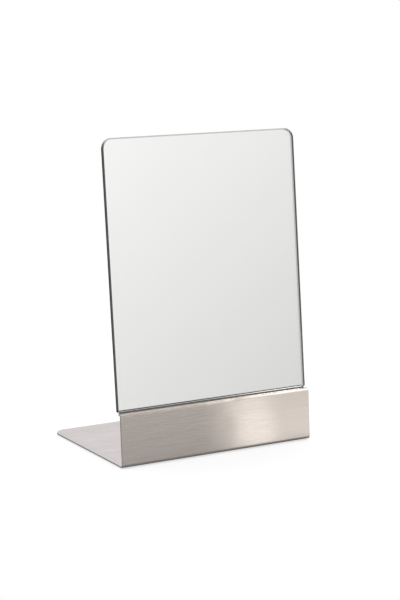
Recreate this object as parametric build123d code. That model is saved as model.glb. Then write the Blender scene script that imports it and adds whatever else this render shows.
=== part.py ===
from build123d import *
import os
from math import cos, radians, sin, tan

# Folded sheet stand
stand_width = 210.0
base_depth = 150.0
sheet = 1.5
bend_outside = 3.0
base_corner = 12.0
panel_slant = 51.5
panel_lean = 4.0
ledge_mitre = 5.7
upright_width = 150.0
upright_rise = 140.0
upright_corner = 12.0
relief_width = 2.0
relief_depth = 1.5

# Mirror pane
glass_lean = 6.0
glass_thickness = 4.0
glass_height = 255.5
top_corner = 10.0
bottom_corner = 1.5
arris = 1.2
glass_setback = 5.3

# Layers behind the glass and under it
silver = 0.1
paint = 0.1
film = 0.2
tape = 1.0
tape_width = 25.0
tape_height = 110.0
tape_rise = 15.0
tape_spacing = 50.0
strip = 0.8
strip_depth = 2.4
strip_end_inset = 2.0

# Foot pads
pad_diameter = 12.0
pad_thickness = 1.0
pad_inset = 16.0

# Derived sizes
glass_width = stand_width
bend_middle = bend_outside - sheet / 2
bend_inside = bend_outside - sheet
lean = radians(panel_lean)
bend_set_in = bend_outside * ((1 + sin(lean)) / cos(lean) - 1)
panel_up = Vector(0, sin(lean), cos(lean))
glass_up = Vector(0, sin(radians(glass_lean)), cos(radians(glass_lean)))
glass_back = Vector(0, cos(radians(glass_lean)), -sin(radians(glass_lean)))
front_foot = Vector(0, -base_depth / 2 - bend_set_in, pad_thickness)
ledge_front = front_foot + panel_up * panel_slant
pocket = glass_setback + glass_thickness + silver + paint + film + tape
ledge_rear = ledge_front + glass_back * pocket
glass_foot = ledge_front + glass_back * glass_setback + glass_up * strip
glass_plane = Plane(origin=glass_foot, x_dir=(1, 0, 0), z_dir=glass_back)


def right_of(direction):
    return Vector(0, direction.Z, -direction.Y)


def shifted_corner(point, before, after, distance):
    a, b = right_of(before), right_of(after)
    return point + (a + b) * (distance / (1 + a.dot(b)))


def sheet_profile():
    # middle line of the sheet, from the back of the base to the top of the upright
    forward = Vector(0, -1, 0)
    half = sheet / 2
    back_edge = Vector(0, base_depth / 2, pad_thickness + half)
    upright_top = ledge_rear + glass_up * upright_rise + glass_back * half
    points = [
        back_edge,
        shifted_corner(front_foot, forward, panel_up, half),
        shifted_corner(ledge_front, panel_up, glass_back, half),
        shifted_corner(ledge_rear, glass_back, glass_up, half),
        upright_top,
    ]
    flat = [(p.Y, p.Z) for p in points]
    return trace(FilletPolyline(*flat, radius=bend_middle), line_width=sheet)


def ledge_keep():
    # plan outline of what stays of the ledge and upright, seen from above
    free_edge = ledge_rear.Y - bend_inside
    start = ledge_front.Y - bend_outside
    body = Pos(0, (start + free_edge) / 2) * Rectangle(stand_width, free_edge - start)
    body = chamfer(body.vertices().group_by(Axis.Y)[-1], ledge_mitre)
    reach = 2 * upright_rise * tan(radians(glass_lean)) + 2 * bend_outside
    body += Pos(0, free_edge + reach / 2) * Rectangle(upright_width, reach)
    relief = Rectangle(relief_width, 2 * relief_depth)
    for side in (-1, 1):
        body -= Pos(side * (upright_width + relief_width) / 2, free_edge) * relief
    return body


def folded_stand():
    stand = extrude(Plane.YZ * sheet_profile(), stand_width / 2, both=True)
    low = ledge_front.Z / 2
    high = 2 * upright_rise
    room = Pos(0, ledge_front.Y + base_depth / 2, low + high / 2)
    cutter = room * Box(2 * stand_width, base_depth + 2 * bend_outside, high)
    cutter -= extrude(Plane.XY.offset(low) * ledge_keep(), high)
    stand -= cutter
    back_face = stand.faces().sort_by(Axis.Y)[-1]
    stand = fillet(back_face.edges().sort_by(SortBy.LENGTH)[:2], base_corner)
    top_face = stand.faces().sort_by(Axis.Z)[-1]
    return fillet(top_face.edges().sort_by(SortBy.LENGTH)[:2], upright_corner)


def pane_outline(inset=0.0):
    # front view of the pane, its foot on the local X axis
    width, height = glass_width - 2 * inset, glass_height - 2 * inset
    outline = Pos(0, -glass_height / 2) * Rectangle(width, height)
    rows = outline.vertices().group_by(Axis.Y)
    outline = fillet(rows[-1], bottom_corner - inset)
    rows = outline.vertices().group_by(Axis.Y)
    return fillet(rows[0], top_corner - inset)


def pane_layer(start, thickness, inset=0.0):
    return extrude(glass_plane.offset(start) * pane_outline(inset), thickness)


def mirror_glass():
    pane = pane_layer(0, glass_thickness)
    rims = [f for f in pane.faces() if abs(f.normal_at().dot(glass_back)) > cos(radians(1))]
    edges = [edge for rim in rims for edge in rim.edges()]
    return chamfer(edges, arris)


def strip_block(width, depth, height, across, up, back):
    # block whose front lower edge sits at the given distances from the foot of the glass
    place = glass_foot + glass_up * up + glass_back * back
    plane = Plane(origin=place, x_dir=(1, 0, 0), z_dir=glass_up)
    align = (Align.CENTER, Align.MIN, Align.MIN)
    return plane * Pos(across, 0, 0) * Box(width, depth, height, align=align)


def bonding_tape(side):
    behind = glass_thickness + silver + paint + film
    return strip_block(tape_width, tape, tape_height, side * tape_spacing, tape_rise, behind)


def ledge_strip():
    width = glass_width - 2 * strip_end_inset
    return strip_block(width, strip_depth, strip, 0, -strip, (glass_thickness - strip_depth) / 2)


def foot_pad(side, end):
    place = Pos(side * (stand_width / 2 - pad_inset), end * (base_depth / 2 - pad_inset), 0)
    align = (Align.CENTER, Align.CENTER, Align.MIN)
    return place * Cylinder(pad_diameter / 2, pad_thickness, align=align)


def all_parts():
    parts = {
        "folded_stand": folded_stand(),
        "mirror_glass": mirror_glass(),
        "silver_coat": pane_layer(glass_thickness, silver, arris),
        "back_paint": pane_layer(glass_thickness + silver, paint, arris),
        "safety_film": pane_layer(glass_thickness + silver + paint, film, arris),
        "ledge_strip": ledge_strip(),
    }
    for name, side in (("left", -1), ("middle", 0), ("right", 1)):
        parts["bonding_tape_" + name] = bonding_tape(side)
    for row, end in (("front", -1), ("rear", 1)):
        for name, side in (("left", -1), ("right", 1)):
            parts["foot_pad_" + row + "_" + name] = foot_pad(side, end)
    return parts


os.makedirs("parts", exist_ok=True)
for name, solid in all_parts().items():
    export_step(solid, "parts/" + name + ".step")
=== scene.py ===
from math import atan2, cos, pi, radians, sin, tan

import bmesh
import bpy
from bpy.props import FloatProperty, FloatVectorProperty, PointerProperty
from bpy.types import NodeSocket, Operator, Panel, PropertyGroup
from mathutils import Matrix, Vector


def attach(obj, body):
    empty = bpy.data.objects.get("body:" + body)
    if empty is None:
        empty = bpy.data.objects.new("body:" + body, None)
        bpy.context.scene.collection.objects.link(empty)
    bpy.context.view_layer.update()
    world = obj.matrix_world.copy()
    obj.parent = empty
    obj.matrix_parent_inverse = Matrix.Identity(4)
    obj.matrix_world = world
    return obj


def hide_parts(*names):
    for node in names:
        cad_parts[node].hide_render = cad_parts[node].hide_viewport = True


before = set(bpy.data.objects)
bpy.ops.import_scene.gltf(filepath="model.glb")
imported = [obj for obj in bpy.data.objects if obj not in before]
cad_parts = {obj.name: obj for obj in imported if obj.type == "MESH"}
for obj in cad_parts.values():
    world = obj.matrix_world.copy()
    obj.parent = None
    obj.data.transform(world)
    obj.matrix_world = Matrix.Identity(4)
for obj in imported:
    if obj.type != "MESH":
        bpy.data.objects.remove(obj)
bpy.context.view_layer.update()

bl_info = {
    "name": "Standing makeup mirror",
    "version": (1, 0, 0),
    "blender": (4, 5, 0),
    "location": "3D View > Sidebar > Makeup mirror",
    "description": "Folded steel stand, leaning mirror pane and a plain studio",
    "category": "Object",
}

MM = 0.001
WHITE = (1, 1, 1, 1)


# Colours and nodes


def linear(code):
    # an sRGB hex code as the linear colour that the shaders use
    parts = [int(code[i:i + 2], 16) / 255 for i in (1, 3, 5)]
    return [c / 12.92 if c <= 0.04045 else ((c + 0.055) / 1.055) ** 2.4 for c in parts] + [1.0]


def shade(color, factor):
    return [c * factor for c in color[:3]] + [1.0]


def add(tree, kind, links=None, **settings):
    # each input takes another node's output or a plain value
    node = tree.nodes.new(kind)
    for name, value in settings.items():
        setattr(node, name, value)
    for name, value in (links or {}).items():
        if isinstance(value, NodeSocket):
            tree.links.new(value, node.inputs[name])
        else:
            node.inputs[name].default_value = value
    return node


def maths(tree, kind, *values):
    return add(tree, "ShaderNodeMath", dict(enumerate(values)), operation=kind).outputs[0]


def mix(tree, factor, first, second, kind="RGBA"):
    links = {"Factor": factor, "A": first, "B": second}
    return add(tree, "ShaderNodeMix", links, data_type=kind).outputs["Result"]


def ramp(tree, value, low, high, start=0.0, end=1.0, kind="LINEAR"):
    # goes from start to end while the value goes from low to high, and stays level outside
    links = {"Value": value, "From Min": low, "From Max": high, "To Min": start, "To Max": end}
    return add(tree, "ShaderNodeMapRange", links, interpolation_type=kind).outputs[0]


def noise(tree, place, scale, detail, roughness=0.5, **settings):
    links = {"Vector": place, "Scale": scale, "Detail": detail, "Roughness": roughness}
    return add(tree, "ShaderNodeTexNoise", links, **settings).outputs["Fac"]


def cloudy(tree, factor, colour, change):
    # the colour, made darker and lighter by the same share
    return mix(tree, factor, shade(colour, 1 - change), shade(colour, 1 + change))


def bump(tree, height, strength, distance):
    links = {"Height": height, "Strength": strength, "Distance": distance}
    return add(tree, "ShaderNodeBump", links)


def surface(tree, **links):
    named = {name.replace("_", " "): value for name, value in links.items()}
    return add(tree, "ShaderNodeBsdfPrincipled", named).outputs[0]


def new_material(name):
    made = bpy.data.materials.new(name)
    made.use_nodes = True
    made.node_tree.nodes.clear()
    return made, made.node_tree


def show(tree, shader, **links):
    add(tree, "ShaderNodeOutputMaterial", {"Surface": shader, **links})


def object_place(tree):
    return add(tree, "ShaderNodeTexCoord").outputs["Object"]


def edge_faces(tree):
    return add(tree, "ShaderNodeAttribute", attribute_name="rim").outputs["Fac"]


# Outlines and meshes


def corner_turn(corners, i):
    # one corner with the directions of the sides before and after it
    here = Vector(corners[i][:2])
    before = (here - Vector(corners[i - 1][:2])).normalized()
    after = (Vector(corners[(i + 1) % len(corners)][:2]) - here).normalized()
    return here, before, after


def inset_corners(corners, inset):
    # corners are (x, y, radius), anticlockwise; each side moves in by the inset
    least = 0.05 * MM
    out = []
    for i, (_, _, radius) in enumerate(corners):
        here, before, after = corner_turn(corners, i)
        inward = [Vector((-d.y, d.x)) for d in (before, after)]
        spot = here + (inward[0] + inward[1]) * (inset / (1 + inward[0].dot(inward[1])))
        convex = before.cross(after) > 0
        if radius > 0:
            radius = max(radius - inset if convex else radius + inset, least)
        out.append((spot.x, spot.y, radius))
    return out


def rounded_outline(corners, steps):
    points = []
    for i, (_, _, radius) in enumerate(corners):
        here, before, after = corner_turn(corners, i)
        if radius <= 0:
            points.append(here)
            continue
        turn = atan2(before.cross(after), before.dot(after))
        side = 1 if turn > 0 else -1
        start = here - before * radius * tan(abs(turn) / 2)
        centre = start + Vector((-before.y, before.x)) * radius * side
        arm = start - centre
        for k in range(steps + 1):
            angle = turn * k / steps
            points.append(centre + Vector((arm.x * cos(angle) - arm.y * sin(angle),
                                           arm.x * sin(angle) + arm.y * cos(angle))))
    return points


def plate_mesh(name, corners, thickness, edge_break, cuts=(), steps=12):
    # flat plate centred on its middle layer, its edges broken at 45 degrees
    # "rim" is 1 on the edge and the bevel below it, and "flat" holds the place on the plate
    mesh = bmesh.new()
    rim = mesh.faces.layers.float.new("rim")
    half = thickness / 2
    full = rounded_outline(corners, steps)
    small = rounded_outline(inset_corners(corners, edge_break), steps)
    layers = [(small, -half), (full, edge_break - half), (full, half - edge_break), (small, half)]
    rings = [[mesh.verts.new((p.x, p.y, z)) for p in points] for points, z in layers]
    for low, high in zip(rings, rings[1:]):
        for i in range(len(low)):
            j = (i + 1) % len(low)
            side = mesh.faces.new((low[i], low[j], high[j], high[i]))
            side[rim] = float(high is not rings[-1])
    mesh.faces.new(rings[-1])
    mesh.faces.new(list(reversed(rings[0])))
    for cut in cuts:
        everything = mesh.verts[:] + mesh.edges[:] + mesh.faces[:]
        bmesh.ops.bisect_plane(mesh, geom=everything, plane_co=(0, cut, 0), plane_no=(0, 1, 0))
    layer = mesh.loops.layers.uv.new("flat")
    for face in mesh.faces:
        for loop in face.loops:
            loop[layer].uv = loop.vert.co.xy
    data = bpy.data.meshes.new(name)
    mesh.to_mesh(data)
    mesh.free()
    return data


def crease_edges(data, limit):
    # flat faces stay flat and only turns below the limit, in degrees, shade as one
    mesh = bmesh.new()
    mesh.from_mesh(data)
    for face in mesh.faces:
        face.smooth = True
    for edge in mesh.edges:
        edge.smooth = edge.is_manifold and edge.calc_face_angle(0) < radians(limit)
    mesh.to_mesh(data)
    mesh.free()


def new_object(name, data):
    made = bpy.data.objects.new(name, data)
    bpy.context.scene.collection.objects.link(made)
    return made


def dress(node, material):
    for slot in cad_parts[node].material_slots:
        slot.material = material


# Sizes and colours that a user would change


def length(name, description, millimetres):
    return FloatProperty(name=name, description=description, default=millimetres * MM, unit="LENGTH")


def slant(name, description, degrees):
    return FloatProperty(name=name, description=description, default=radians(degrees), subtype="ANGLE")


def tint(name, description, code):
    default = linear(code)
    return FloatVectorProperty(name=name, description=description, default=default, size=4, subtype="COLOR")


class StandSizes(PropertyGroup):
    width: length("Width", "Length of the base and the panel", 210)
    depth: length("Depth", "Front of the panel's foot to the back of the base", 150)
    sheet: length("Sheet", "Thickness of the steel", 1.5)
    bend: length("Bend", "Outside radius of each fold", 3)
    edge_break: length("Edge break", "Width of the broken edge of the sheet", 0.15)
    base_corner: length("Base corner", "Radius of the base's back corners", 12)
    panel: length("Panel", "Slanted height of the front panel", 51.5)
    panel_lean: slant("Panel lean", "How far the panel leans back", 4)
    pocket: length("Ledge", "Panel front to the face of the upright", 10.7)
    mitre: length("Mitre", "How far back the ledge's ends start to slope in", 3.4)
    mitre_corner: length("Mitre corner", "Radius at both ends of the slope", 0.8)
    upright_width: length("Upright width", "Width of the upright behind the pane", 150)
    upright: length("Upright", "Height of the upright above the ledge", 140)
    upright_corner: length("Upright corner", "Radius of the upright's top corners", 12)
    relief: length("Relief", "Width of the notch beside the upright", 2)
    relief_depth: length("Relief depth", "How far the notch cuts into the ledge", 1.4)
    relief_corner: length("Relief corner", "Radius of the notch's corners", 0.3)
    lift: length("Lift", "Height of the foot pads", 1)


class PaneSizes(PropertyGroup):
    width: length("Width", "Width of the glass", 210)
    height: length("Height", "Height of the glass along its slope", 255.5)
    thickness: length("Thickness", "Thickness of the glass", 4)
    lean: slant("Lean", "How far the pane leans back", 6)
    setback: length("Setback", "Panel front to the face of the glass", 5.3)
    strip: length("Strip", "Height of the strip under the glass", 0.8)
    top_corner: length("Top corner", "Radius of the upper corners", 10)
    bottom_corner: length("Bottom corner", "Radius of the lower corners", 1.5)
    arris: length("Arris", "Width of the polished edge bevel", 1.2)
    silver_gap: length("Silver gap", "Room before the silver, so that the faces never meet", 0.02)


class FinishColours(PropertyGroup):
    steel: tint("Steel", "Brushed stainless steel", "#D3C9C0")
    steel_dark: tint("Steel grain", "Deeper grain lines in the steel", "#D0C6BD")
    steel_edge: tint("Steel edge", "Cut edges of the sheet", "#B8B2AC")
    silver: tint("Silver", "Silver coat behind the glass", "#FBFBFA")
    glass_tint: tint("Glass tint", "What the thickness of the glass lets through", "#CFD0CE")
    glass_edge: tint("Glass edge", "What the edge faces of the glass let through", "#464A3C")
    paint: tint("Backing paint", "Baked paint over the silver", "#51585A")
    film: tint("Safety film", "Film that holds the pane together", "#8E9698")
    thread: tint("Film thread", "Threads laid into the film", "#A6ADAF")
    foam: tint("Foam tape", "Closed-cell mounting tape", "#DAD9D3")
    strip: tint("Setting strip", "Soft strip that the glass stands on", "#8E8E8A")
    pad: tint("Foot pad", "Rubber under the base", "#262626")
    floor: tint("Floor", "Plain studio floor", "#B2B2B2")


class StageSizes(PropertyGroup):
    azimuth: slant("Camera turn", "Camera turned from straight ahead", -30.223)
    elevation: slant("Camera height", "Camera angle above level", 10.982)
    distance: length("Camera distance", "Along the line of sight to the panel's foot", 1703.404)
    across: length("Camera across", "Sideways shift of the camera", -18.447)
    up: length("Camera up", "Upward shift of the camera", 147.695)
    lens: FloatProperty(name="Lens", description="Focal length in millimetres", default=106.068)
    floor: length("Floor", "Radius of the floor", 450)


# Materials


def brushed_stainless(finish):
    # Stainless steel sheet, brushed along its width: long soft lines, light smeared upright
    made, tree = new_material("brushed_stainless_sheet")
    flat = add(tree, "ShaderNodeUVMap", uv_map="flat").outputs["UV"]

    def lines(along, across, detail, roughness):
        place = add(tree, "ShaderNodeMapping", {"Vector": flat, "Scale": (along, across, 1)})
        return noise(tree, place.outputs[0], 1.0, detail, roughness, noise_dimensions="2D")

    # real grain is about 0.1 mm wide; drawn 2 mm wide and 20 mm long so that it shows,
    # over broader bands 6 mm wide and 110 mm long
    fine = lines(50, 480, 3.0, 0.6)
    broad = lines(9, 160, 2.0, 0.5)
    broad_share = 0.4
    grain = mix(tree, broad_share, fine, broad, "FLOAT")
    spread = ramp(tree, grain, 0.3, 0.7)
    tone = mix(tree, spread, finish.steel_dark, finish.steel)
    dull, bright = 0.24, 0.16
    rough = ramp(tree, spread, 0.0, 1.0, dull, bright)
    # the sheet wavers by 0.2 mm over 30 mm
    waver = noise(tree, flat, 34.0, 1.0, noise_dimensions="2D")
    sway = bump(tree, waver, 1.0, 0.2 * MM)
    # the drawn lines stand 0.14 mm proud, deeper than life, to catch the light
    proud = bump(tree, grain, 1.0, 0.14 * MM)
    tree.links.new(sway.outputs[0], proud.inputs["Normal"])
    along = add(tree, "ShaderNodeTangent", direction_type="UV_MAP", uv_map="flat").outputs[0]
    quarter_turn = 0.25
    brushed = surface(
        tree, Base_Color=tone, Metallic=1.0, Roughness=rough, Anisotropic=1.0,
        Anisotropic_Rotation=quarter_turn, Tangent=along, Normal=proud.outputs[0])
    # the cut edges are not brushed: darker and duller, with marks 2 mm apart along the cut
    marks = noise(tree, object_place(tree), 500.0, 2.0)
    edge_tone = cloudy(tree, marks, finish.steel_edge, 0.2)
    cut = surface(tree, Base_Color=edge_tone, Metallic=1.0, Roughness=0.4)
    show(tree, add(tree, "ShaderNodeMixShader", {0: edge_faces(tree), 1: brushed, 2: cut}).outputs[0])
    return made


def polished_float_glass(finish):
    # Float glass with a polished arris: clear face, edges that darken to grey-green
    made, tree = new_material("polished_float_glass")
    # faint haze left by wiping, streaks about 30 mm apart
    wipe = noise(tree, object_place(tree), 33.0, 3.0)
    most_haze = 0.004
    haze = ramp(tree, wipe, 0.0, 1.0, 0.0, most_haze)
    # light through the edge faces is dimmed, as by the ground and painted edge of a real mirror
    clear = mix(tree, edge_faces(tree), WHITE, finish.glass_edge)
    shader = surface(tree, Base_Color=clear, Roughness=haze, IOR=1.52, Transmission_Weight=1.0)
    depth = add(tree, "ShaderNodeVolumeAbsorption", {"Color": finish.glass_tint, "Density": 8.0})
    show(tree, shader, Volume=depth.outputs[0])
    return made


def silver_coating(finish):
    # Chemically deposited silver: a bright even mirror, a shade duller in soft clouds
    made, tree = new_material("deposited_silver")
    cloud = noise(tree, object_place(tree), 12.0, 2.0)
    duller = 0.99
    tone = mix(tree, cloud, shade(finish.silver, duller), finish.silver)
    show(tree, surface(tree, Base_Color=tone, Metallic=1.0, Roughness=0.0))
    return made


def baked_backing_paint(finish):
    # Curtain-coated paint, baked: an even grey with a slight orange peel
    made, tree = new_material("baked_backing_paint")
    place = object_place(tree)
    tone = cloudy(tree, noise(tree, place, 25.0, 3.0), finish.paint, 0.15)
    # orange peel about 1.5 mm across
    peel = bump(tree, noise(tree, place, 650.0, 1.0), 0.4, 0.05 * MM)
    show(tree, surface(tree, Base_Color=tone, Roughness=0.45, Normal=peel.outputs[0]))
    return made


def scrim_safety_film(finish):
    # Polyethylene film with laid threads: a satin grey sheet crossed by a pale square net
    made, tree = new_material("scrim_safety_film")
    place = object_place(tree)
    axes = add(tree, "ShaderNodeSeparateXYZ", {"Vector": place}).outputs
    # threads 5 mm apart and 0.6 mm wide
    spacing, core, reach = 5 * MM, 0.2 * MM, 0.4 * MM

    def threads(axis):
        away = maths(tree, "PINGPONG", axes[axis], spacing / 2)
        return ramp(tree, away, core, reach, 1.0, 0.0)

    net = maths(tree, "MAXIMUM", threads("X"), threads("Z"))
    cloud = noise(tree, place, 60.0, 3.0)
    tone = mix(tree, net, cloudy(tree, cloud, finish.film, 0.1), finish.thread)
    cloud_height = 0.15
    height = maths(tree, "MULTIPLY_ADD", cloud, cloud_height, net)
    raised = bump(tree, height, 0.5, 0.1 * MM)
    show(tree, surface(tree, Base_Color=tone, Roughness=0.42, Normal=raised.outputs[0]))
    return made


def closed_cell_foam(finish):
    # Polyethylene foam tape: pale matt edge full of fine round cells, with painted shade darkening the middle
    # of each cell
    made, tree = new_material("closed_cell_foam")
    # cells about 0.4 mm across
    cells = add(tree, "ShaderNodeTexVoronoi", {"Vector": object_place(tree), "Scale": 2500.0})
    inside = cells.outputs["Distance"]
    painted_pit_shade = 0.8
    # painted shade: each cell is darkest at its middle, where its hollow is deepest
    tone = mix(tree, inside, shade(finish.foam, painted_pit_shade), finish.foam)
    pitted = bump(tree, inside, 0.6, 0.1 * MM)
    show(tree, surface(tree, Base_Color=tone, Roughness=0.8, Normal=pitted.outputs[0]))
    return made


def moulded_rubber(name, colour, grain):
    # Moulded rubber: matt, with a fine stipple from the mould
    made, tree = new_material(name)
    stipple = noise(tree, object_place(tree), 1 / grain, 2.0)
    tone = cloudy(tree, stipple, colour, 0.25)
    raised = bump(tree, stipple, 0.5, 0.05 * MM)
    show(tree, surface(tree, Base_Color=tone, Roughness=0.65, Normal=raised.outputs[0]))
    return made


def pale_floor(finish):
    # Matt studio paper: white to the camera, with the soft shadow kept, and a painted pool of light that only
    # reflections see
    made, tree = new_material("studio_floor")
    place = object_place(tree)
    # across is square to the line of sight as the panel reflects it; behind runs back from the panel
    across, behind = (0.866, 0.5, 0), (0, 1, 0)

    def fade(direction, low, high, top=1.0):
        # rises from nothing at low to top at high; both in mm from the middle of the base
        along = add(tree, "ShaderNodeVectorMath", {0: place, 1: direction}, operation="DOT_PRODUCT")
        return ramp(tree, along.outputs["Value"], low * MM, high * MM, 0.0, top, "SMOOTHSTEP")

    # painted light: reflections in the metal see a glowing brighter patch of floor ahead of the panel's right
    # half, with a painted bright stripe in it
    painted_light_pool = maths(tree, "MULTIPLY", fade(across, -53, -5, 0.65), fade(across, 160, 120))
    painted_light_stripe = maths(tree, "MULTIPLY", fade(across, -27, -2, 0.5), fade(across, 34, 10))
    painted_light_pool = maths(tree, "ADD", painted_light_pool, painted_light_stripe)
    # the painted pool of light ends 0.4 m ahead; next to the panel all the floor has a fainter painted glow,
    # and under the base there is none
    painted_light_pool = maths(tree, "MULTIPLY", painted_light_pool, fade(behind, -440, -360))
    painted_light_pool = maths(tree, "ADD", painted_light_pool, fade(behind, -250, -120, 0.14))
    painted_light_pool = maths(tree, "MULTIPLY", painted_light_pool, fade(behind, -80, -100))
    seen = add(tree, "ShaderNodeLightPath").outputs
    # the painted light glows only for reflected rays, not for the camera
    painted_reflection_glow = maths(tree, "MULTIPLY", seen["Is Glossy Ray"], painted_light_pool)
    whitening = 0.66
    glow = maths(tree, "MULTIPLY_ADD", seen["Is Camera Ray"], whitening, painted_reflection_glow)
    light = add(tree, "ShaderNodeEmission", {"Strength": glow}).outputs[0]
    paper = add(tree, "ShaderNodeBsdfDiffuse", {"Color": finish.floor}).outputs[0]
    show(tree, add(tree, "ShaderNodeAddShader", {0: paper, 1: light}).outputs[0])
    return made


# The stand is a flat blank that Geometry Nodes fold along three lines


def add_inputs(group, names, kind="NodeSocketFloat"):
    for name in names:
        group.interface.new_socket(name, in_out="INPUT", socket_type=kind)


def fold_group():
    group = bpy.data.node_groups.new("Fold along a line", "GeometryNodeTree")
    add_inputs(group, ["Geometry"], "NodeSocketGeometry")
    add_inputs(group, ["Flat place"], "NodeSocketVector")
    add_inputs(group, ["Line", "Angle", "Radius", "Side"])
    group.interface.new_socket("Geometry", in_out="OUTPUT", socket_type="NodeSocketGeometry")
    given = add(group, "NodeGroupInput").outputs
    flat = add(group, "ShaderNodeSeparateXYZ", {0: given["Flat place"]}).outputs["Y"]
    now = add(group, "ShaderNodeSeparateXYZ", {0: add(group, "GeometryNodeInputPosition").outputs[0]}).outputs
    line, radius, side = given["Line"], given["Radius"], given["Side"]

    def calc(kind, *values):
        return maths(group, kind, *values)

    # how far past the line each point of the blank lies, and the angle it has turned by
    arc = calc("MULTIPLY", radius, given["Angle"])
    past = calc("SUBTRACT", flat, line)
    angle = calc("DIVIDE", calc("MINIMUM", calc("MAXIMUM", past, 0.0), arc), radius)
    # points before the line keep their place, points beyond the arc run on straight
    beyond = calc("GREATER_THAN", past, arc)
    run = calc("MULTIPLY", calc("SUBTRACT", calc("SUBTRACT", now["Y"], line), arc), beyond)
    bent = calc("GREATER_THAN", past, 0.0)
    unbent = calc("MULTIPLY", now["Y"], calc("SUBTRACT", 1.0, bent))
    start = calc("ADD", unbent, calc("MULTIPLY", line, bent))
    arm = calc("SUBTRACT", radius, calc("MULTIPLY", now["Z"], side))
    sine, cosine = calc("SINE", angle), calc("COSINE", angle)
    level = calc("ADD", calc("ADD", start, calc("MULTIPLY", arm, sine)), calc("MULTIPLY", run, cosine))
    rise = calc("SUBTRACT", radius, calc("MULTIPLY", arm, cosine))
    height = calc("MULTIPLY", calc("ADD", rise, calc("MULTIPLY", run, sine)), side)
    spot = add(group, "ShaderNodeCombineXYZ", {"X": now["X"], "Y": level, "Z": height}).outputs[0]
    moved = add(group, "GeometryNodeSetPosition", {"Geometry": given["Geometry"], "Position": spot})
    add(group, "NodeGroupOutput", {"Geometry": moved.outputs[0]})
    return group


def fold_tree():
    tree = bpy.data.node_groups.new("Folded sheet stand", "GeometryNodeTree")
    angles = ("Base to panel", "Panel to ledge", "Ledge to upright")
    add_inputs(tree, ["Geometry"], "NodeSocketGeometry")
    add_inputs(tree, ["Base run", "Panel run", "Ledge run", "Bend radius", *angles])
    add_inputs(tree, ["Back of the base"], "NodeSocketVector")
    add_inputs(tree, ["Finish"], "NodeSocketMaterial")
    tree.interface.new_socket("Geometry", in_out="OUTPUT", socket_type="NodeSocketGeometry")
    given = add(tree, "NodeGroupInput").outputs
    radius = given["Bend radius"]
    lines = [given["Base run"]]
    for angle, run in zip(angles, ("Panel run", "Ledge run")):
        arc_end = maths(tree, "MULTIPLY_ADD", radius, given[angle], lines[-1])
        lines.append(maths(tree, "ADD", arc_end, given[run]))
    kept = add(tree, "GeometryNodeCaptureAttribute", {"Geometry": given["Geometry"]})
    kept.capture_items.new("VECTOR", "Flat place")
    tree.links.new(add(tree, "GeometryNodeInputPosition").outputs[0], kept.inputs["Flat place"])
    shape, flat = kept.outputs["Geometry"], kept.outputs["Flat place"]
    fold = fold_group()
    # the last fold is made first; it turns the other way from the two below it
    for line, angle, side in zip(reversed(lines), reversed(angles), (-1.0, 1.0, 1.0)):
        step = add(tree, "GeometryNodeGroup", node_tree=fold)
        links = {"Geometry": shape, "Flat place": flat, "Line": line, "Angle": given[angle], "Radius": radius}
        for name, value in links.items():
            tree.links.new(value, step.inputs[name])
        step.inputs["Side"].default_value = side
        shape = step.outputs[0]
    turned = add(tree, "GeometryNodeTransform", {
        "Geometry": shape, "Translation": given["Back of the base"], "Rotation": (0.0, 0.0, pi)})
    real = add(tree, "GeometryNodeRealizeInstances", {"Geometry": turned.outputs[0]}).outputs[0]
    done = add(tree, "GeometryNodeSetMaterial", {"Geometry": real, "Material": given["Finish"]})
    add(tree, "NodeGroupOutput", {"Geometry": done.outputs[0]})
    return tree


def fold_sizes(stand, pane):
    # runs between the folds, measured on the middle layer of the sheet
    radius = stand.bend - stand.sheet / 2
    half = stand.sheet / 2
    angles = (pi / 2 + stand.panel_lean, pi / 2 + pane.lean - stand.panel_lean, pi / 2)
    trim = [radius * tan(angle / 2) for angle in angles]
    shift = [half * tan(angle / 2) for angle in angles]
    foot_y = -stand.depth / 2 - stand.bend * ((1 + sin(stand.panel_lean)) / cos(stand.panel_lean) - 1)
    base = stand.depth / 2 - foot_y - shift[0] - trim[0]
    panel = stand.panel - shift[0] - shift[1] - trim[0] - trim[1]
    ledge = stand.pocket - shift[1] + shift[2] - trim[1] - trim[2]
    upright = stand.upright + shift[2] - trim[2]
    return radius, angles, (base, panel, ledge, upright), Vector((0, foot_y, stand.lift))


def stand_blank(stand, runs, lines, arcs):
    # outline of the flat sheet; x across the stand, y from the back of the base
    half, tongue = stand.width / 2, stand.upright_width / 2
    edge = tongue + stand.relief
    before_fold = 0.1 * MM
    rear = lines[2] - before_fold
    slope = lines[1] + arcs[1] - (stand.bend - stand.sheet / 2) + stand.mitre
    slope = max(slope, lines[1] + arcs[1] / 2)
    notch = lines[2] - stand.relief_depth
    top = lines[2] + arcs[2] + runs[3]
    slope_end = half - (rear - slope)
    right = [
        (half, 0, stand.base_corner),
        (half, slope, stand.mitre_corner), (slope_end, rear, stand.mitre_corner),
        (edge, rear, stand.relief_corner), (edge, notch, stand.relief_corner),
        (tongue, notch, stand.relief_corner), (tongue, top, stand.upright_corner),
    ]
    return right + [(-x, y, r) for x, y, r in reversed(right)]


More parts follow.
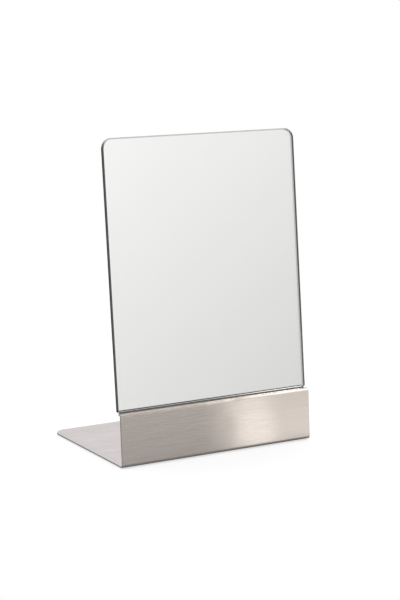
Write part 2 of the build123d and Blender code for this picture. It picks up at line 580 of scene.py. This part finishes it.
def build_stand(stand, pane, material):
    radius, angles, runs, _ = fold_sizes(stand, pane)
    arcs = [radius * angle for angle in angles]
    lines = [runs[0]]
    for i in (0, 1):
        lines.append(lines[-1] + arcs[i] + runs[i + 1])
    # the blank is cut across where it bends, and once just outside each bend
    bend_steps, margin = 20, 0.2 * MM
    cuts = []
    for line, arc in zip(lines, arcs):
        cuts += [line - margin, line + arc + margin]
        cuts += [line + arc * k / bend_steps for k in range(bend_steps + 1)]
    corners = stand_blank(stand, runs, lines, arcs)
    data = plate_mesh("folded_sheet_blank", corners, stand.sheet, stand.edge_break, cuts)
    blank = new_object("folded_sheet_blank", data)
    tree = fold_tree()
    change = blank.modifiers.new("Fold", "NODES")
    change.node_group = tree
    values = {
        "Base run": runs[0], "Panel run": runs[1], "Ledge run": runs[2], "Bend radius": radius,
        "Base to panel": angles[0], "Panel to ledge": angles[1], "Ledge to upright": angles[2],
        "Back of the base": (0.0, stand.depth / 2, stand.lift + stand.sheet / 2), "Finish": material,
    }
    for item in tree.interface.items_tree:
        if item.in_out == "INPUT" and item.name in values:
            change[item.identifier] = values[item.name]
    ready = blank.evaluated_get(bpy.context.evaluated_depsgraph_get())
    folded = bpy.data.meshes.new_from_object(ready)
    bpy.data.objects.remove(blank)
    crease_edges(folded, 20)
    folded.name = "folded_sheet"
    piece = new_object("folded_sheet", folded)
    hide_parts("folded_stand")
    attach(piece, "root")


def build_pane(stand, pane, material):
    half, height = pane.width / 2, pane.height
    corners = [(-half, 0, pane.bottom_corner), (half, 0, pane.bottom_corner),
               (half, height, pane.top_corner), (-half, height, pane.top_corner)]
    thickness = pane.thickness - pane.silver_gap
    data = plate_mesh("glass_pane", corners, thickness, pane.arris, steps=16)
    foot = fold_sizes(stand, pane)[3]
    up = Vector((0, sin(pane.lean), cos(pane.lean)))
    back = Vector((0, cos(pane.lean), -sin(pane.lean)))
    panel_up = Vector((0, sin(stand.panel_lean), cos(stand.panel_lean)))
    front = foot + panel_up * stand.panel + back * pane.setback + up * pane.strip
    turn = Matrix((Vector((1, 0, 0)), up, -back)).transposed().to_4x4()
    data.transform(Matrix.Translation(front + back * thickness / 2) @ turn)
    crease_edges(data, 30)
    data.materials.append(material)
    piece = new_object("glass_pane", data)
    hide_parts("mirror_glass")
    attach(piece, "root")


# Stage


def studio_world():
    # the only light: pale surroundings with dark side walls, a window and a light overhead
    world = bpy.data.worlds.new("soft_studio")
    bpy.context.scene.world = world
    world.use_nodes = True
    tree = world.node_tree
    tree.nodes.clear()
    # x, y and z say how far a direction points to the right, back and up, from -1 to 1
    look = add(tree, "ShaderNodeTexCoord").outputs["Generated"]
    x, y, z = add(tree, "ShaderNodeSeparateXYZ", {0: look}).outputs
    seen = add(tree, "ShaderNodeLightPath").outputs

    def rise(axis, low, high):
        return ramp(tree, axis, low, high, kind="SMOOTHSTEP")

    def blend(factor, first, second):
        return mix(tree, factor, first, second, "FLOAT")

    def both(first, second):
        return maths(tree, "MULTIPLY", first, second)

    # the wall that the mirror shows grows darker to the right and lighter upward
    wall_turn, across_slope, upward_slope, middle = radians(30.5), -0.845, 1.117, 0.834
    darkest, lightest = 0.57, 1.05
    right = (cos(wall_turn), sin(wall_turn), 0)
    across = add(tree, "ShaderNodeVectorMath", {0: look, 1: right}, operation="DOT_PRODUCT").outputs["Value"]
    wall = maths(tree, "MULTIPLY_ADD", across, across_slope, middle)
    wall = maths(tree, "MULTIPLY_ADD", z, upward_slope, wall)
    wall = add(tree, "ShaderNodeClamp", {"Value": wall, "Min": darkest, "Max": lightest}).outputs[0]
    # above that wall it is darker, and lighter again toward the ceiling
    upper_wall, ceiling = 0.52, 0.8
    level = blend(rise(z, 0.12, 0.30), wall, upper_wall)
    level = blend(rise(z, 0.6, 0.75), level, ceiling)
    # a window at the front right, brighter in its upper part
    window_low, window_high = 1.4, 2.4
    window = both(rise(x, 0.49, 0.52), rise(z, 0.12, 0.17))
    level = blend(window, level, blend(rise(z, 0.5, 0.7), window_low, window_high))
    # a light straight overhead
    overhead = 2.5
    level = blend(rise(z, 0.94, 0.98), level, overhead)
    # low down, the front left and the far right are dark; the glass bevels show them
    dark_wall = 0.08
    between = both(rise(x, 0.0, 0.25), rise(x, 0.85, 0.7))
    lit_part = maths(tree, "MAXIMUM", between, rise(z, 0.3, 0.6))
    level = blend(lit_part, dark_wall, level)
    # behind the mirror it is bright, but dim along the floor
    back_low, back_high = 0.25, 1.05
    behind = rise(y, -0.3, 0.1)
    level = blend(behind, level, blend(rise(z, 0.02, 0.12), back_low, back_high))
    # the camera sees plain white; the upper part behind is slightly cool
    strength = blend(seen["Is Camera Ray"], level, 1.0)
    cool_white = (1.0, 1.02, 1.12, 1)
    colour = mix(tree, both(behind, rise(z, 0.1, 0.3)), WHITE, cool_white)
    light = add(tree, "ShaderNodeBackground", {"Color": colour, "Strength": strength}).outputs[0]
    add(tree, "ShaderNodeOutputWorld", {"Surface": light})


def build_camera(stage, foot):
    azimuth, elevation = stage.azimuth, stage.elevation
    back = Vector((sin(azimuth) * cos(elevation), -cos(azimuth) * cos(elevation), sin(elevation)))
    right = (-back).cross(Vector((0, 0, 1))).normalized()
    up = back.cross(right)
    camera = new_object("camera", bpy.data.cameras.new("camera"))
    camera.data.lens = stage.lens
    camera.data.sensor_width = 36
    camera.location = foot + back * stage.distance + right * stage.across + up * stage.up
    camera.rotation_mode = "QUATERNION"
    camera.rotation_quaternion = Matrix((right, up, back)).transposed().to_quaternion()
    bpy.context.scene.camera = camera


def build_floor(radius, material):
    disc = bmesh.new()
    bmesh.ops.create_circle(disc, cap_ends=True, segments=128, radius=radius)
    data = bpy.data.meshes.new("studio_floor")
    disc.to_mesh(data)
    disc.free()
    data.materials.append(material)
    new_object("studio_floor", data)


# Operators, panel and registration


class MIRROR_OT_stand(Operator):
    """Fold the steel stand from its flat blank"""
    bl_idname = "mirror.stand"
    bl_label = "Folded stand"

    def execute(self, context):
        scene = context.scene
        build_stand(scene.mirror_stand, scene.mirror_pane, brushed_stainless(scene.mirror_finish))
        return {"FINISHED"}


class MIRROR_OT_pane(Operator):
    """Make the glass pane with its polished edge"""
    bl_idname = "mirror.pane"
    bl_label = "Glass pane"

    def execute(self, context):
        scene = context.scene
        build_pane(scene.mirror_stand, scene.mirror_pane, polished_float_glass(scene.mirror_finish))
        return {"FINISHED"}


class MIRROR_OT_backing(Operator):
    """Finish the layers behind the glass: silver, paint and safety film"""
    bl_idname = "mirror.backing"
    bl_label = "Backing layers"

    def execute(self, context):
        finish = context.scene.mirror_finish
        dress("silver_coat", silver_coating(finish))
        dress("back_paint", baked_backing_paint(finish))
        dress("safety_film", scrim_safety_film(finish))
        return {"FINISHED"}


class MIRROR_OT_mounting(Operator):
    """Finish the tapes and the strip that hold the pane"""
    bl_idname = "mirror.mounting"
    bl_label = "Tapes and strip"

    def execute(self, context):
        finish = context.scene.mirror_finish
        foam = closed_cell_foam(finish)
        for side in ("left", "middle", "right"):
            dress("bonding_tape_" + side, foam)
        dress("ledge_strip", moulded_rubber("setting_strip_rubber", finish.strip, 0.3 * MM))
        return {"FINISHED"}


class MIRROR_OT_pads(Operator):
    """Finish the four pads under the base"""
    bl_idname = "mirror.pads"
    bl_label = "Foot pads"

    def execute(self, context):
        rubber = moulded_rubber("foot_pad_rubber", context.scene.mirror_finish.pad, 0.4 * MM)
        for row in ("front", "rear"):
            for side in ("left", "right"):
                dress("foot_pad_" + row + "_" + side, rubber)
        return {"FINISHED"}


class MIRROR_OT_stage(Operator):
    """Set up the camera, the floor and the light"""
    bl_idname = "mirror.stage"
    bl_label = "Studio"

    def execute(self, context):
        scene = context.scene
        build_camera(scene.mirror_stage, fold_sizes(scene.mirror_stand, scene.mirror_pane)[3])
        build_floor(scene.mirror_stage.floor, pale_floor(scene.mirror_finish))
        studio_world()
        scene.view_settings.view_transform = "Standard"
        return {"FINISHED"}


class MIRROR_PT_panel(Panel):
    bl_idname = "MIRROR_PT_panel"
    bl_label = "Makeup mirror"
    bl_space_type = "VIEW_3D"
    bl_region_type = "UI"
    bl_category = "Makeup mirror"

    def draw(self, context):
        for kind in OPERATORS:
            self.layout.operator(kind.bl_idname)
        for name in GROUPS:
            group = getattr(context.scene, name)
            for setting in group.__annotations__:
                self.layout.prop(group, setting)


OPERATORS = (MIRROR_OT_stand, MIRROR_OT_pane, MIRROR_OT_backing, MIRROR_OT_mounting, MIRROR_OT_pads,
             MIRROR_OT_stage)
GROUPS = {"mirror_stand": StandSizes, "mirror_pane": PaneSizes, "mirror_finish": FinishColours,
          "mirror_stage": StageSizes}


def register():
    for kind in (*GROUPS.values(), *OPERATORS, MIRROR_PT_panel):
        bpy.utils.register_class(kind)
    for name, kind in GROUPS.items():
        setattr(bpy.types.Scene, name, PointerProperty(type=kind))


def unregister():
    for name in GROUPS:
        delattr(bpy.types.Scene, name)
    for kind in reversed((*GROUPS.values(), *OPERATORS, MIRROR_PT_panel)):
        bpy.utils.unregister_class(kind)


def main():
    register()
    for step in ("stand", "pane", "backing", "mounting", "pads", "stage"):
        getattr(bpy.ops.mirror, step)()


if __name__ == "__main__":
    main()
